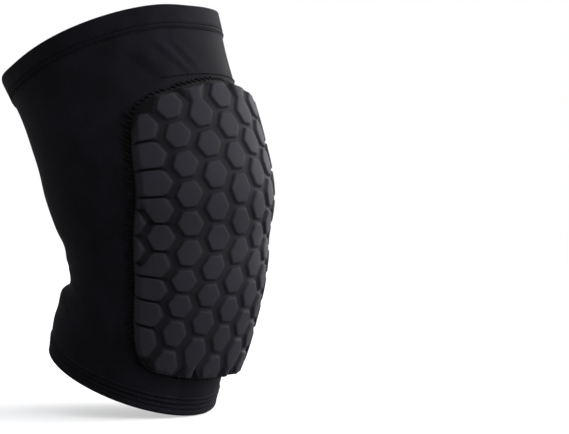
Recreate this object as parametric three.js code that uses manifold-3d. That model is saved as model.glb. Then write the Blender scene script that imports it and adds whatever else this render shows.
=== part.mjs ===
// Knee compression sleeve with a honeycomb knee pad, in the bent shape that it has on a leg.
// It is a tube of stretch knit with a doubled hem at each end, and a foam pad of hexagonal cells is sewn on
// over the kneecap. Millimetres. +Z is up, -Y is the front of the knee, and the origin is the middle of the
// leg hollow behind the kneecap.
import * as THREE from "three";
import { ParametricGeometry } from "three/addons/geometries/ParametricGeometry.js";
import { mergeVertices } from "three/addons/utils/BufferGeometryUtils.js";
import Module from "manifold-3d";

const wasm = await Module();
wasm.setup();

// Driving dimensions
const SLEEVE_LENGTH = 257; // rim to rim, down the front
const CLOTH = 1.5; // wall of the stretch knit
const SEAM_GAP = 0.3; // between pieces that are sewn edge to edge
const THIGH_HEM = 17; // height of the upper hem
const CALF_HEM = 14; // height of the lower hem
const HEM_PROUD = 0.9; // the doubled hem stands this far out of the tube, and into it
const HEM_FOLD = 1.2; // rounding of the fold at a rim
const RIM_PULL = 8; // the thigh rim is pulled this far up on the outer side of the knee
const RIM_PULL_AT = 48; // degrees round from the front where it is pulled most
const RIM_PULL_REACH = 24; // and how many degrees that reaches
const RIM_DIP = 0.9; // at the front it dips this far
const RIM_DIP_AT = -5; // degrees round from the front
const RIM_DIP_REACH = 14; // and how many degrees that reaches
const RIM_FLARE = 0.3; // share of the pull by which the rim also opens outward
const RIM_PULL_FROM = 205; // height up the front where the pull begins
const ROUND_STEPS = 36; // flats round the leg
const ROW_HEIGHT = { smooth: 18, hem: 12, folded: 5.4 }; // longest flat along the leg, by stretch

const CELL_PITCH = 17.2; // across flats, from one cell's middle to the next one's
const CELL_ROWS = 10;
const CELL_COLUMNS = 8;
const CELL_GAP = 2.8; // groove between two cells
const CELL_BEVEL = 1.3; // sloped rim of a cell's top
const CELL_MIN_AREA = 16; // a smaller offcut at the pad's edge is left out
const PAD_LIFT = 0.6; // clear of the tube, under the pad
const PAD_BASE = 5.6; // foam between the cells, measured from the tube
const PAD_TOP = 9; // top of a cell, measured from the tube
const PAD_FOOT_ALONG = 31.5; // the pad's lower edge, measured up the front from the calf rim
const PAD_HALF_WIDTH = 67; // of the flat pad, at its widest
const PAD_SPREAD = 0.975; // the flat pad's width that is left when it lies on the knee
const PAD_TAPER = 0.1; // share by which its upper edge is stretched wider, and its lower edge drawn in
const PAD_DROOP = 7.8; // its upper rows drop this far towards the sides, round the bent knee
const PAD_DROOP_OUT = 58; // distance from the pad's middle where that drop is whole
const PAD_DROOP_FROM = -15; // height on the pad where it begins
const PAD_DROOP_FULL = 55; // and where it is whole
const PAD_DROP = 3.2; // its lower edge is drawn this far down the shin
const PAD_DROP_FROM = 58; // distance below the pad's middle where that begins
const PAD_SAG = 4; // under the kneecap the rows sag this far towards one side
const PAD_SAG_FROM = 15; // where across the pad that sag begins
const PAD_SAG_FULL = -40; // and where it is whole
const PAD_SAG_AT = -16; // height on the pad where it is deepest
const PAD_SAG_REACH = 20; // and how far up and down it reaches
const PAD_PUSH = 3.2; // the kneecap pushes the middle rows this far to the other side
const PAD_PUSH_AT = -2; // height on the pad where they are pushed most
const PAD_PUSH_REACH = 14; // and how far up and down that reaches
const PAD_EDGE = 3.2; // sewn border, with no cells on it
const PAD_BORDER_ROUND = 3.2; // how far the border's outer edge is rounded off

const COLOURS = { knit: 0x17171a, hem: 0x1b1b1f, pad: 0x2b2b31 };

// Cross-sections of the worn sleeve, evenly spaced from the calf rim up to the thigh rim. Each is an oval
// with its middle `back` and `up` from the origin, in a plane that leans back by `lean` degrees, and `depth`
// and `side` are its half sizes.
const SECTIONS = [
  { at: "calf rim", back: 17.5, up: -103, lean: -22.5, depth: 56, side: 50 },
  { at: "calf", back: 11, up: -80, lean: -21.5, depth: 57, side: 52 },
  { at: "shin head", back: 0, up: -57.5, lean: -17, depth: 56, side: 51.5 },
  { at: "below kneecap", back: -4, up: -35.5, lean: -10.5, depth: 59, side: 53.5 },
  { at: "kneecap foot", back: -1, up: -13.5, lean: -4, depth: 64, side: 58 },
  { at: "kneecap", back: 0.5, up: 8.5, lean: 2, depth: 69, side: 62.5 },
  { at: "above kneecap", back: 6.5, up: 31, lean: 8, depth: 69, side: 63 },
  { at: "lower thigh", back: 15, up: 53, lean: 14, depth: 69, side: 63 },
  { at: "thigh", back: 25, up: 75.5, lean: 19, depth: 69.5, side: 62.5 },
  { at: "thigh rim", back: 36, up: 98.5, lean: 20.5, depth: 73, side: 63.5 },
];

// Folds of the cloth in the bend behind the knee. `along` is up from the calf rim, `turn` is degrees round
// from the front, `rise` is how far a fold stands out, and `width` and `spread` are how far it reaches up and
// down and, in degrees, round the leg.
const FOLDS = [
  { at: "roll under the crease", along: 46, turn: 180, rise: 2.6, width: 6.5, spread: 62 },
  { at: "crease", along: 62, turn: 180, rise: -3, width: 7, spread: 52 },
  { at: "roll over the crease", along: 82, turn: 180, rise: 1.6, width: 8, spread: 46 },
];

// The pad's outline laid flat, from the middle of its lower edge round to the middle of its upper edge, in
// quadratic stretches: each row's curve is pulled towards (pullOut, pullUp) and ends at (out, up).
const PAD_HALF_HEIGHT = (CELL_ROWS * CELL_PITCH) / 2;
const PAD_OUTLINE = [
  { to: "lower edge", pullOut: 20, pullUp: -PAD_HALF_HEIGHT, out: 40, up: -PAD_HALF_HEIGHT, steps: 4 },
  { to: "lower corner", pullOut: 57, pullUp: -PAD_HALF_HEIGHT, out: 63, up: -60, steps: 3 },
  { to: "side", pullOut: PAD_HALF_WIDTH, pullUp: -38, out: PAD_HALF_WIDTH, up: 0, steps: 2 },
  { to: "upper side", pullOut: PAD_HALF_WIDTH, pullUp: 30, out: 64.5, up: 50, steps: 2 },
  { to: "upper corner", pullOut: 60, pullUp: 81, out: 42, up: 85.5, steps: 4 },
  { to: "upper edge", pullOut: 20, pullUp: PAD_HALF_HEIGHT, out: 0, up: PAD_HALF_HEIGHT, steps: 4 },
];
const PAD_MIDDLE_ALONG = PAD_FOOT_ALONG + PAD_HALF_HEIGHT;

// Surface of the worn sleeve

const middles = new THREE.CatmullRomCurve3(
  SECTIONS.map((s) => new THREE.Vector3(s.back, s.up, s.lean)),
  false,
  "catmullrom",
);
const sizes = new THREE.CatmullRomCurve3(
  SECTIONS.map((s) => new THREE.Vector3(s.depth, s.side, 0)),
  false,
  "catmullrom",
);

// 1 at the middle, falling to nothing about two reaches away.
function bell(value, middle, reach) {
  return Math.exp(-(((value - middle) / reach) ** 2));
}

// How far the cloth near the thigh rim is pulled up the leg there.
function rimPull(along, angle) {
  const { euclideanModulo, radToDeg, smoothstep } = THREE.MathUtils;
  const turn = euclideanModulo(radToDeg(angle) + 180, 360) - 180;
  const raised = RIM_PULL * bell(turn, RIM_PULL_AT, RIM_PULL_REACH);
  const dipped = RIM_DIP * bell(turn, RIM_DIP_AT, RIM_DIP_REACH);
  return (raised - dipped) * smoothstep(along, RIM_PULL_FROM, SLEEVE_LENGTH);
}

// A point of the smooth sleeve, with `angle` in radians round from the front towards +X.
function smoothPoint(along, angle) {
  const share = along / SLEEVE_LENGTH;
  const { x: back, y: up, z: lean } = middles.getPoint(share);
  const { x: depth, y: side } = sizes.getPoint(share);
  const tilt = THREE.MathUtils.degToRad(lean);
  const pull = rimPull(along, angle);
  const flare = RIM_FLARE * pull;
  const forward = (depth + flare) * Math.cos(angle);
  return new THREE.Vector3(
    (side + flare) * Math.sin(angle),
    back - forward * Math.cos(tilt) + pull * Math.sin(tilt),
    up + forward * Math.sin(tilt) + pull * Math.cos(tilt),
  );
}

function outwardNormal(along, angle) {
  const step = 0.01;
  const round = smoothPoint(along, angle + step).sub(smoothPoint(along, angle - step));
  const upper = Math.min(along + step, SLEEVE_LENGTH);
  const lower = Math.max(along - step, 0);
  const rise = smoothPoint(upper, angle).sub(smoothPoint(lower, angle));
  return round.cross(rise).normalize();
}

function foldRise(along, angle) {
  const turn = THREE.MathUtils.radToDeg(angle);
  return FOLDS.reduce((sum, fold) => {
    const apart = THREE.MathUtils.euclideanModulo(turn - fold.turn + 180, 360) - 180;
    const near = ((along - fold.along) / fold.width) ** 2 + (apart / fold.spread) ** 2;
    return sum + fold.rise * Math.exp(-near);
  }, 0);
}

// A point `lift` outside the cloth's outer face.
function onCloth(along, angle, lift) {
  return smoothPoint(along, angle).addScaledVector(
    outwardNormal(along, angle),
    lift + foldRise(along, angle),
  );
}

// The angle at which an arc of that length, laid round the leg from the front, ends.
function angleAtArc(along, arc) {
  const step = THREE.MathUtils.degToRad(arc < 0 ? -2 : 2);
  let angle = 0;
  let from = smoothPoint(along, angle);
  let left = Math.abs(arc);
  for (;;) {
    const to = smoothPoint(along, angle + step);
    const stride = to.distanceTo(from);
    if (stride >= left) return angle + (step * left) / stride;
    left -= stride;
    angle += step;
    from = to;
  }
}

// A point of the flat pad, `across` and `up` from its middle, laid on the sleeve.
function onPad(across, up, lift) {
  const { smoothstep } = THREE.MathUtils;
  const outer = smoothstep(Math.abs(across), 0, PAD_DROOP_OUT);
  const drooping = outer * smoothstep(up, PAD_DROOP_FROM, PAD_DROOP_FULL);
  const sagged = 1 - smoothstep(across, PAD_SAG_FULL, PAD_SAG_FROM);
  const sagging = sagged * bell(up, PAD_SAG_AT, PAD_SAG_REACH);
  const inside = Math.max(0, 1 - (across / PAD_HALF_WIDTH) ** 4);
  const pushed = bell(up, PAD_PUSH_AT, PAD_PUSH_REACH) * inside;
  const dropped = PAD_DROP * smoothstep(-up, PAD_DROP_FROM, PAD_HALF_HEIGHT);
  const along = PAD_MIDDLE_ALONG + up - PAD_DROOP * drooping - PAD_SAG * sagging - dropped;
  const arc = across * (PAD_SPREAD + (PAD_TAPER * up) / PAD_HALF_HEIGHT) + PAD_PUSH * pushed;
  return onCloth(along, angleAtArc(along, arc), lift);
}

// Closed meshes

function welded(geometry) {
  geometry.deleteAttribute("normal");
  geometry.deleteAttribute("uv");
  return mergeVertices(geometry, 1e-3);
}

function toSolid(geometry) {
  const mesh = welded(geometry);
  const corners = [];
  for (let i = 0; i < mesh.index.count; i += 3) {
    const face = [mesh.index.getX(i), mesh.index.getX(i + 1), mesh.index.getX(i + 2)];
    if (new Set(face).size === 3) corners.push(...face);
  }
  return new wasm.Manifold(
    new wasm.Mesh({
      numProp: 3,
      vertProperties: mesh.attributes.position.array,
      triVerts: new Uint32Array(corners),
    }),
  );
}

function toGeometry(solid) {
  const { vertProperties, triVerts } = solid.getMesh();
  const geometry = new THREE.BufferGeometry();
  geometry.setAttribute("position", new THREE.BufferAttribute(vertProperties, 3));
  geometry.setIndex(new THREE.BufferAttribute(triVerts, 1));
  return geometry;
}

function piece(name, solid, colour, roughness) {
  const geometry = toGeometry(solid);
  geometry.computeVertexNormals();
  const mesh = new THREE.Mesh(
    geometry,
    new THREE.MeshStandardMaterial({ color: colour, roughness, metalness: 0 }),
  );
  mesh.name = name;
  return mesh;
}

// A band of cloth round the leg whose wall has the closed outline `wall`, a list of { along, lift }.
function bandRoundLeg(wall) {
  return toSolid(
    new ParametricGeometry(
      (u, v, target) => {
        const { along, lift } = wall[Math.round(v * wall.length) % wall.length];
        const step = Math.round(u * ROUND_STEPS) % ROUND_STEPS;
        target.copy(onCloth(along, (step / ROUND_STEPS) * 2 * Math.PI, lift));
      },
      ROUND_STEPS,
      wall.length,
    ),
  );
}

// Sleeve tube: one wall of knit between the two hems, with closer rows across the folds behind the knee.
const TUBE_FOOT = CALF_HEM + SEAM_GAP;
const TUBE_HEAD = SLEEVE_LENGTH - THIGH_HEM - SEAM_GAP;
const FOLDS_FOOT = FOLDS[0].along - 2 * FOLDS[0].width;
const FOLDS_HEAD = FOLDS.at(-1).along + 2 * FOLDS.at(-1).width;

function evenly(from, to, step) {
  const count = Math.ceil((to - from) / step);
  return Array.from({ length: count }, (_, i) => from + ((to - from) * i) / count);
}

function sleeveTube() {
  const rows = [
    ...evenly(TUBE_FOOT, FOLDS_FOOT, ROW_HEIGHT.hem),
    ...evenly(FOLDS_FOOT, FOLDS_HEAD, ROW_HEIGHT.folded),
    ...evenly(FOLDS_HEAD, TUBE_HEAD, ROW_HEIGHT.smooth),
    TUBE_HEAD,
  ];
  const outside = rows.map((along) => ({ along, lift: 0 }));
  const inside = rows.map((along) => ({ along, lift: -CLOTH })).reverse();
  return bandRoundLeg([...outside, ...inside]);
}

// A hem is the cloth turned in on itself, so it stands proud on both sides, with a rounded fold at the rim.
const HEM_OUTSIDE = HEM_PROUD;
const HEM_INSIDE = -CLOTH - HEM_PROUD;
const HEM_SLOPE = 1; // the step at the sewn edge is spread over this height

function thighHem() {
  const foot = SLEEVE_LENGTH - THIGH_HEM;
  return bandRoundLeg([
    { along: foot, lift: -CLOTH },
    { along: foot, lift: 0 },
    { along: foot + HEM_SLOPE, lift: HEM_OUTSIDE },
    { along: foot + THIGH_HEM / 2, lift: HEM_OUTSIDE },
    { along: SLEEVE_LENGTH - HEM_FOLD, lift: HEM_OUTSIDE },
    { along: SLEEVE_LENGTH, lift: HEM_OUTSIDE - HEM_FOLD },
    { along: SLEEVE_LENGTH, lift: HEM_INSIDE + HEM_FOLD },
    { along: SLEEVE_LENGTH - HEM_FOLD, lift: HEM_INSIDE },
    { along: foot + HEM_SLOPE, lift: HEM_INSIDE },
  ]);
}

// The calf hem has elastic ribs round it.
const RIBS = { count: 3, pitch: 3.4, rise: 0.6, foot: 2.6 };

function calfHem() {
  const ribbed = Array.from({ length: RIBS.count }, (_, i) => [
    { along: RIBS.foot + i * RIBS.pitch, lift: HEM_OUTSIDE - RIBS.rise },
    { along: RIBS.foot + (i + 0.5) * RIBS.pitch, lift: HEM_OUTSIDE },
  ]).flat();
  return bandRoundLeg([
    { along: 0, lift: HEM_INSIDE + HEM_FOLD },
    { along: 0, lift: HEM_OUTSIDE - HEM_FOLD },
    ...ribbed,
    { along: CALF_HEM, lift: 0 },
    { along: CALF_HEM, lift: -CLOTH },
    { along: CALF_HEM - HEM_SLOPE, lift: HEM_INSIDE },
    { along: HEM_FOLD, lift: HEM_INSIDE },
  ]);
}

// Knee pad: a foam sheet with a thin sewn border, and a field of cells raised on it.

function padOutline() {
  const half = new THREE.Path().moveTo(0, -PAD_HALF_HEIGHT);
  for (const row of PAD_OUTLINE) half.quadraticCurveTo(row.pullOut, row.pullUp, row.out, row.up);
  const points = half.curves.flatMap((curve, i) => curve.getPoints(PAD_OUTLINE[i].steps).slice(0, -1));
  const mirrored = points.slice(1).map((p) => new THREE.Vector2(-p.x, p.y));
  return [...points, new THREE.Vector2(0, PAD_HALF_HEIGHT), ...mirrored.reverse()];
}

const outline = padOutline();

// The foam sheet, from the middle of its inner face out under the border and back to the middle of its outer
// face. Each ring of points is a share of the way from the pad's middle to its outline, less an inset.
function padSheet() {
  const innerShares = [0.14, 0.28, 0.42, 0.56, 0.7, 0.83];
  const outerShares = [0.7, 0.4];
  const rings = [
    { share: 0, inset: 0, lift: PAD_LIFT },
    ...innerShares.map((share) => ({ share, inset: 0, lift: PAD_LIFT })),
    { share: 1, inset: PAD_EDGE, lift: PAD_LIFT },
    { share: 1, inset: 0, lift: PAD_LIFT },
    { share: 1, inset: 0, lift: PAD_BASE - PAD_BORDER_ROUND },
    { share: 1, inset: PAD_BORDER_ROUND / 2, lift: PAD_BASE - PAD_BORDER_ROUND / 3 },
    { share: 1, inset: PAD_BORDER_ROUND, lift: PAD_BASE },
    ...outerShares.map((share) => ({ share, inset: 0, lift: PAD_BASE })),
    { share: 0, inset: 0, lift: PAD_BASE },
  ];
  return toSolid(
    new ParametricGeometry(
      (u, v, target) => {
        const edge = outline[Math.round(u * outline.length) % outline.length];
        const { share, inset, lift } = rings[Math.round(v * (rings.length - 1))];
        const scale = share * (1 - inset / edge.length());
        target.copy(onPad(edge.x * scale, edge.y * scale, lift));
      },
      outline.length,
      rings.length - 1,
    ),
  );
}

// The part of a flat polygon that lies inside the pad's outline, `inset` from its edge.
function clippedToPad(polygon, inset) {
  let kept = polygon;
  outline.forEach((from, i) => {
    const to = outline[(i + 1) % outline.length];
    const side = to.clone().sub(from).normalize();
    const depth = (p) => side.cross(p.clone().sub(from)) - inset;
    kept = kept.flatMap((p, k) => {
      const next = kept[(k + 1) % kept.length];
      const [here, there] = [depth(p), depth(next)];
      const crossing = here * there < 0 ? [p.clone().lerp(next, here / (here - there))] : [];
      return here >= 0 ? [p, ...crossing] : crossing;
    });
  });
  const shortest = 2 * CELL_BEVEL;
  return kept.filter((p, k) => p.distanceTo(kept[(k + 1) % kept.length]) > shortest);
}

// The corners of a cell in the pad's plane, smaller than its pitch by the groove. A quarter of the cell that
// `runsOut` goes straight out past the border, and any other has a hexagon's sloped side. A half that
// `runsOn` has a neck to the half cell beyond it.
function cellCorners(across, up, runsOut, runsOn) {
  const half = (CELL_PITCH - CELL_GAP) / 2;
  const point = (2 * half) / Math.sqrt(3);
  const quarters = [
    { x: 1, y: 1 },
    { x: -1, y: 1 },
    { x: -1, y: -1 },
    { x: 1, y: -1 },
  ];
  return quarters.flatMap(({ x, y }) => {
    const straight = runsOut(x, y);
    const tip = straight ? PAD_HALF_WIDTH : point;
    const shoulder = straight ? PAD_HALF_WIDTH : point / 2;
    const corners = [
      new THREE.Vector2(across + x * tip, up),
      new THREE.Vector2(across + x * shoulder, up + y * half),
    ];
    const beyond = [
      new THREE.Vector2(across + x * shoulder, up + y * (CELL_PITCH - half)),
      new THREE.Vector2(across + x * tip, up + y * CELL_PITCH),
    ];
    if (runsOn(y)) corners.push(...beyond);
    return x === y ? corners : corners.reverse();
  });
}

// One cell: a block with a sloped rim, sunk a little way into the foam sheet and laid on the knee.
function padCell(polygon) {
  const sunk = 2;
  const block = welded(
    new THREE.ExtrudeGeometry(new THREE.Shape(polygon), {
      depth: PAD_TOP - PAD_BASE + sunk - 2 * CELL_BEVEL,
      bevelThickness: CELL_BEVEL,
      bevelSize: CELL_BEVEL,
      bevelOffset: -CELL_BEVEL,
      bevelSegments: 1,
    }),
  );
  const foot = PAD_BASE - sunk + CELL_BEVEL;
  const place = block.attributes.position;
  for (let i = 0; i < place.count; i += 1) {
    const laid = onPad(place.getX(i), place.getY(i), foot + place.getZ(i));
    place.setXYZ(i, laid.x, laid.y, laid.z);
  }
  return toSolid(block);
}

// Every second column is half a pitch higher, so that the cells nest, and the columns between end in half
// cells that are joined to the last whole ones. The cells of the outer columns run out to the border, apart
// from the middle of the pad, where it is widest and corners of one more column show.
function padCells() {
  const columnPitch = (CELL_PITCH * Math.sqrt(3)) / 2;
  const last = CELL_COLUMNS - 1;
  const nearMiddle = (up) => Math.abs(up) < CELL_PITCH;
  const cells = [];
  for (let column = -1; column <= last + 1; column += 1) {
    const across = (column - last / 2) * columnPitch;
    const nested = column % 2 === 0 ? 0 : 0.5;
    const isCorner = column < 0 || column > last;
    const outward = (column === last ? 1 : 0) - (column === 0 ? 1 : 0);
    const first = nested ? 0 : 1;
    for (let row = first; row < CELL_ROWS; row += 1) {
      const up = (row + nested) * CELL_PITCH - PAD_HALF_HEIGHT;
      const runsOut = (x, y) => x === outward && !nearMiddle(up + (y * CELL_PITCH) / 2);
      const runsOn = (y) => !nested && row === (y < 0 ? 1 : CELL_ROWS - 1);
      const polygon = clippedToPad(cellCorners(across, up, runsOut, runsOn), PAD_EDGE);
      const isWhole = polygon.length > 2 && THREE.ShapeUtils.area(polygon) > CELL_MIN_AREA;
      if (isWhole && (!isCorner || nearMiddle(up))) cells.push(padCell(polygon));
    }
  }
  return cells;
}

const sleeve = new THREE.Group();
sleeve.add(
  piece("sleeve_tube", sleeveTube(), COLOURS.knit, 0.85),
  piece("thigh_hem", thighHem(), COLOURS.hem, 0.85),
  piece("calf_hem", calfHem(), COLOURS.hem, 0.85),
  piece("knee_pad", wasm.Manifold.union([padSheet(), ...padCells()]), COLOURS.pad, 0.7),
);

export default sleeve;
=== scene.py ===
# %% [markdown]
# A knee compression sleeve with a honeycomb pad.
# The real one is a tube of black stretch knit, hemmed at the thigh and at the calf, with a moulded foam pad
# sewn over the kneecap. This lesson dresses a measured model of it: each soft piece is made again with finer
# folds, cells and stitches, and keeps the place and size that the measured one has.

import math

import bpy
import numpy as np
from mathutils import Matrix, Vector


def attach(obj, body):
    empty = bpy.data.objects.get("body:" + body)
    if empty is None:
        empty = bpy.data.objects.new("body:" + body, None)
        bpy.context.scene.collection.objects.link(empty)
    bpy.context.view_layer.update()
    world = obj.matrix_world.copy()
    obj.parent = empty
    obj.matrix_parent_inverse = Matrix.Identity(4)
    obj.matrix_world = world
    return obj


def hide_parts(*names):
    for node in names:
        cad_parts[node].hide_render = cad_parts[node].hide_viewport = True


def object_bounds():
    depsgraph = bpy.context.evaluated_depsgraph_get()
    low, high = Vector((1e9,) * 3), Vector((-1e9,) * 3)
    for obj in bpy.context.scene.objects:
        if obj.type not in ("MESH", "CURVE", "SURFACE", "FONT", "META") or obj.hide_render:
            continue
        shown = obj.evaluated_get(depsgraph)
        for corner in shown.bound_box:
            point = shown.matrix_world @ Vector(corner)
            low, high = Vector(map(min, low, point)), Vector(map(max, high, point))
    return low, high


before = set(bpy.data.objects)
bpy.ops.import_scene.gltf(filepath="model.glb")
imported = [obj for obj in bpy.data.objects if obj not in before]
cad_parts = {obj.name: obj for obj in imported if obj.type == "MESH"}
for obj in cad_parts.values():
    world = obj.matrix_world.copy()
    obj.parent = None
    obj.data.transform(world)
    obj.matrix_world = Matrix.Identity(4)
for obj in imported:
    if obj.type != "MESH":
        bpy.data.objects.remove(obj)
cad_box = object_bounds()
MM = 0.001
print("measured nodes:", sorted(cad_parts))
print("measured box, mm:", [[round(value / MM, 1) for value in corner] for corner in cad_box])

# %% [markdown]
# The sleeve takes its shape from the bent leg that fills it. One could sculpt that by eye, but hems, pad and
# stitches all have to lie on the same cloth, so it is better to have one surface that each piece asks for its
# place. Ten ovals, evenly spaced up the leg, give it, and a smooth curve runs through them.

# %% The bent leg as a surface
SLEEVE_LENGTH = 257
# Each oval's middle is `back` and `up` from the origin, in a plane that leans back by `lean` degrees.
# Columns: back, up, lean, half depth, half width, in mm.
SECTIONS = np.array([
    (17.5, -103, -22.5, 56, 50),  # calf rim
    (11, -80, -21.5, 57, 52),  # calf
    (0, -57.5, -17, 56, 51.5),  # shin head
    (-4, -35.5, -10.5, 59, 53.5),  # below the kneecap
    (-1, -13.5, -4, 64, 58),  # kneecap foot
    (0.5, 8.5, 2, 69, 62.5),  # kneecap
    (6.5, 31, 8, 69, 63),  # above the kneecap
    (15, 53, 14, 69, 63),  # lower thigh
    (25, 75.5, 19, 69.5, 62.5),  # thigh
    (36, 98.5, 20.5, 73, 63.5),  # thigh rim
])


def section_at(along):
    """The oval at a distance up the front from the calf rim, on a smooth curve through the sections."""
    last = len(SECTIONS) - 1
    place = np.clip(along / SLEEVE_LENGTH, 0, 1) * last
    row = np.minimum(place.astype(int), last - 1)
    share = (place - row)[:, None]
    ends = (2 * SECTIONS[0] - SECTIONS[1], 2 * SECTIONS[-1] - SECTIONS[-2])
    rows = np.vstack([ends[0], SECTIONS, ends[1]])
    before, start, stop, after = rows[row], rows[row + 1], rows[row + 2], rows[row + 3]
    leave = (stop - before) / 2
    arrive = (after - start) / 2
    bend = 3 * (stop - start) - 2 * leave - arrive
    swing = 2 * (start - stop) + leave + arrive
    return (start + share * (leave + share * (bend + share * swing))).T


# Columns: how far the thigh rim is pulled up, in mm, where round from the front, and its reach in degrees.
RIM_PULLS = (
    (8, 48, 24),  # corner on the outer side of the knee
    (-0.9, -5, 14),  # dip at the front
    (4, -137, 18),  # corner at the back
)
RIM_FLARE = 0.3  # share of the pull by which the rim also opens outward
RIM_PULL_FROM = 205  # height up the front where the pull begins


def ease(value, start, stop):
    """0 at the start and 1 at the stop, with a soft step between."""
    share = np.clip((value - start) / (stop - start), 0, 1)
    return share * share * (3 - 2 * share)


def bell(value, middle, reach):
    """1 at the middle, falling to nothing about two reaches away."""
    return np.exp(-((value - middle) / reach) ** 2)


def rim_pull(along, turn):
    """How far the cloth near the thigh rim is pulled up the leg there."""
    degrees = np.mod(np.degrees(turn) + 180, 360) - 180
    pull = sum(height * bell(degrees, middle, reach) for height, middle, reach in RIM_PULLS)
    return pull * ease(along, RIM_PULL_FROM, SLEEVE_LENGTH)


def on_leg(along, turn):
    """Points of the smooth leg, with `turn` in radians round from the front towards +X."""
    back, up, lean, depth, side = section_at(along)
    tilt = np.radians(lean)
    pull = rim_pull(along, turn)
    flare = RIM_FLARE * pull
    forward = (depth + flare) * np.cos(turn)
    across = (side + flare) * np.sin(turn)
    backward = back - forward * np.cos(tilt) + pull * np.sin(tilt)
    upward = up + forward * np.sin(tilt) + pull * np.cos(tilt)
    return np.stack([across, backward, upward], axis=1)


def outward(along, turn):
    """The direction that points away from the leg there."""
    step = 0.01
    round_leg = on_leg(along, turn + step) - on_leg(along, turn - step)
    up_leg = on_leg(np.minimum(along + step, SLEEVE_LENGTH), turn) - on_leg(np.maximum(along - step, 0), turn)
    normal = np.cross(round_leg, up_leg)
    return normal / np.linalg.norm(normal, axis=1)[:, None]


print("front of the knee, mm:", on_leg(np.array([SLEEVE_LENGTH / 2]), np.zeros(1)).round(1))

# %% [markdown]
# Cloth that is stretched over a bent knee isn't smooth. Behind the knee it is pushed together into two rolls
# with a crease between them, and above the pad it is pulled into shallow lines that point at the pad's upper
# corner. A cloth simulation would give some folds, but not these ones, so each fold is a row of a table, and
# a bell-shaped rise or dip is added to the surface for it.

# %% Folds and tension lines
# Columns: mm up from the calf rim, degrees round from the front, rise and reach up in mm, reach in degrees.
FOLDS = (
    (46, 180, 2.6, 6.5, 62),  # roll under the crease
    (62, 180, -3, 7, 52),  # crease behind the knee
    (82, 180, 1.6, 8, 46),  # roll over the crease
    (71, 168, 0.7, 3.2, 26),  # small roll inside the crease, on one side
    (54.5, 212, -1.3, 3, 36),  # sharp crease under it, on the other side
    (48, 212, 0.3, 2.6, 36),  # lip of the lower roll there
    (97, 186, -0.8, 5, 34),  # soft dip over the upper roll
    (33, 176, -0.7, 5, 40),  # soft dip under the lower roll
)
# Columns: from up, from degrees round, to up, to degrees round, rise and half width in mm.
TENSION_LINES = (
    (234, -37, 209, -18, -0.6, 1.8),
    (235, -32, 210, -14.5, 0.45, 2.2),
    (235, -27, 211, -11.5, -0.55, 1.8),
    (235, -22, 212, -8, 0.4, 2.4),
    (231, -51, 208, -35, -0.6, 1.8),
    (233, -44, 208, -28, 0.45, 2.4),
    (226, -62, 205, -46, -0.3, 3),
    (235, 36, 211, 17, -0.4, 2.4),
    (231, 50, 209, 33, -0.35, 2.6),
    (38, -96, 52, -128, -0.5, 2.6),
    (57, -100, 66, -136, 0.45, 2.8),
    (86, -108, 74, -140, -0.5, 2.8),
    (38, 96, 52, 128, -0.5, 2.6),
    (57, 100, 66, 136, 0.45, 2.8),
    (86, 108, 74, 140, -0.5, 2.8),
)
LEG_RADIUS = 63
LINE_FADE = 0.7  # below 1, a line keeps its height for longer before it fades out


def fold_rise(along, turn):
    """How far the folds push the cloth out of the smooth leg."""
    degrees = np.degrees(turn)
    rise = np.zeros_like(along)
    for up, middle, height, width, spread in FOLDS:
        apart = (degrees - middle + 180) % 360 - 180
        rise += height * np.exp(-((along - up) / width) ** 2 - (apart / spread) ** 2)
    return rise


def tension_rise(along, turn):
    """How far the tension lines lift or sink the cloth, fading out at both ends of each line."""
    rise = np.zeros_like(along)
    for up, middle, to_up, to_middle, height, width in TENSION_LINES:
        start = np.array([math.radians(middle) * LEG_RADIUS, up])
        run = np.array([math.radians(to_middle) * LEG_RADIUS, to_up]) - start
        place = np.stack([turn * LEG_RADIUS, along], axis=1) - start
        share = np.clip(place @ run / (run @ run), 0, 1)
        gap = np.linalg.norm(place - share[:, None] * run, axis=1)
        rise += height * np.sin(math.pi * share) ** LINE_FADE * np.exp(-((gap / width) ** 2))
    return rise


def on_cloth(along, turn, lift):
    """Points `lift` outside the cloth's outer face, which the folds and tension lines shape."""
    rise = lift + fold_rise(along, turn) + tension_rise(along, turn)
    return on_leg(along, turn) + outward(along, turn) * rise[:, None]


print("folds:", len(FOLDS), "tension lines:", len(TENSION_LINES))

# %% [markdown]
# Every cloth piece starts as what it is before sewing: a flat sheet. Blender's grid is one, and its points
# can then be laid on the leg one by one. The knit has to follow the cloth and not the room, so each point's
# place on the flat sheet is kept in a UV map, measured in millimetres, before the sheet is bent.

# %% Helpers for flat cloth
SAME_POINT = 0.01  # points closer than this, in mm, count as one


def select_only(piece):
    """Make one piece the only selected and active one, because an operator acts on all that is selected."""
    bpy.ops.object.select_all(action="DESELECT")
    piece.select_set(True)
    bpy.context.view_layer.objects.active = piece


def points_of(piece):
    """The piece's points in mm, one row each."""
    flat = np.empty(len(piece.data.vertices) * 3)
    piece.data.vertices.foreach_get("co", flat)
    return flat.reshape(-1, 3) / MM


def move_points(piece, points):
    """Put the piece's points at new places, given in mm."""
    piece.data.vertices.foreach_set("co", (points * MM).ravel())
    piece.data.update()


def keep_knit_map(piece):
    """Keep each point's place on the flat cloth, in mm, as the map that the knit pattern follows."""
    corners = np.empty(len(piece.data.loops), dtype=int)
    piece.data.loops.foreach_get("vertex_index", corners)
    for old in list(piece.data.uv_layers):
        piece.data.uv_layers.remove(old)
    layer = piece.data.uv_layers.new(name="knit")
    layer.data.foreach_set("uv", points_of(piece)[corners, :2].ravel())


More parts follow.
